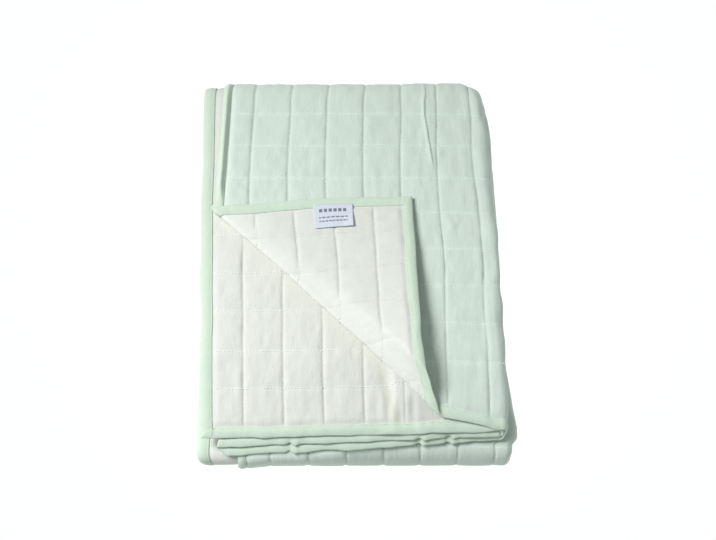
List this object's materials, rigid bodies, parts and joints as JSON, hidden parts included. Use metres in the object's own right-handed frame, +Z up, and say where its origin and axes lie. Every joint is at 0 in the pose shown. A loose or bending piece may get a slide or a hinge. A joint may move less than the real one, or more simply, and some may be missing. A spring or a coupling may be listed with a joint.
{
  "type": "folded quilted bedspread",
  "caption": "Two-sided quilted bedspread with a bound edge, folded into a flat pile with one top corner turned back to show its reverse.",
  "frame": {"origin": "centre of the pile's outline on the surface it rests on", "axes": "+X to the right across the pile, +Y towards its back fold, +Z up"},
  "size_m": [0.4118, 0.5464, 0.1037],
  "materials": {
    "face_cloth": "quilted cotton, pale green",
    "reverse_cloth": "quilted cotton, cream",
    "binding_tape": "folded cotton tape, pale green",
    "label_cloth": "plain white woven tape"
  },
  "bodies": {
    "root": {"face_panel": "face_cloth", "reverse_panel": "reverse_cloth", "binding": "binding_tape", "care_label": "label_cloth"}
  },
  "joints": []
}
